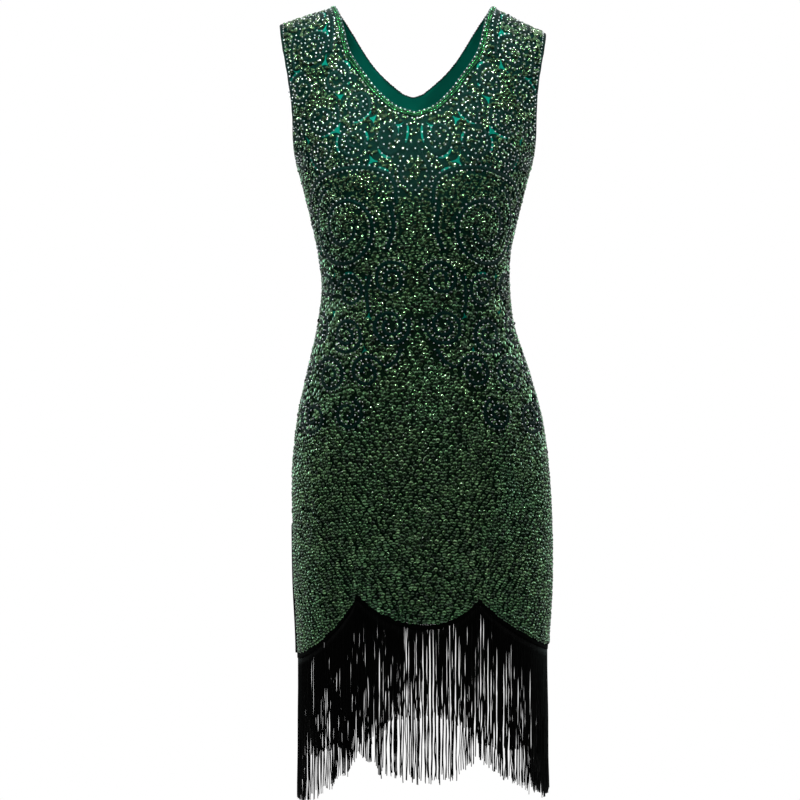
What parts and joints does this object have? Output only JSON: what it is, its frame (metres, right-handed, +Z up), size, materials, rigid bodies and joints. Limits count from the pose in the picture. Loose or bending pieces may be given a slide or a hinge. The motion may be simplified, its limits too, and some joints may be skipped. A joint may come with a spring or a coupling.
{
  "type": "flapper dress",
  "caption": "Sleeveless V-neck dress of sequined net over a plain lining, with beaded bands, a scalloped hem and a long fringe, filled out as it is worn.",
  "frame": {"origin": "between the shoulder seams, level with their inner ends, where the wearer's shoulders hold the dress up", "axes": "+Z up, -Y the front of the dress, +X the wearer's left"},
  "size_m": [0.3443, 0.2361, 1.002],
  "materials": {
    "sequin_net": "dark green net covered with overlapping cup sequins, with scrolls of shiny tape and glass beads",
    "lining_jersey": "plain teal polyester jersey",
    "beaded_tape": "shiny dark teal tape edged with silver-lined beads",
    "black_tape": "matt black woven tape",
    "rayon_fringe": "black twisted rayon strands with a soft sheen"
  },
  "bodies": {
    "root": {"front_panel": "sequin_net", "back_panel": "sequin_net", "front_lining": "lining_jersey", "back_lining": "lining_jersey", "neck_band_front": "beaded_tape", "neck_band_back": "beaded_tape", "armhole_band_left": "beaded_tape", "armhole_band_right": "beaded_tape", "hem_tape_front": "black_tape", "hem_tape_back": "black_tape", "vent_tape": "black_tape", "fringe_front": "rayon_fringe", "fringe_back": "rayon_fringe"}
  },
  "joints": []
}
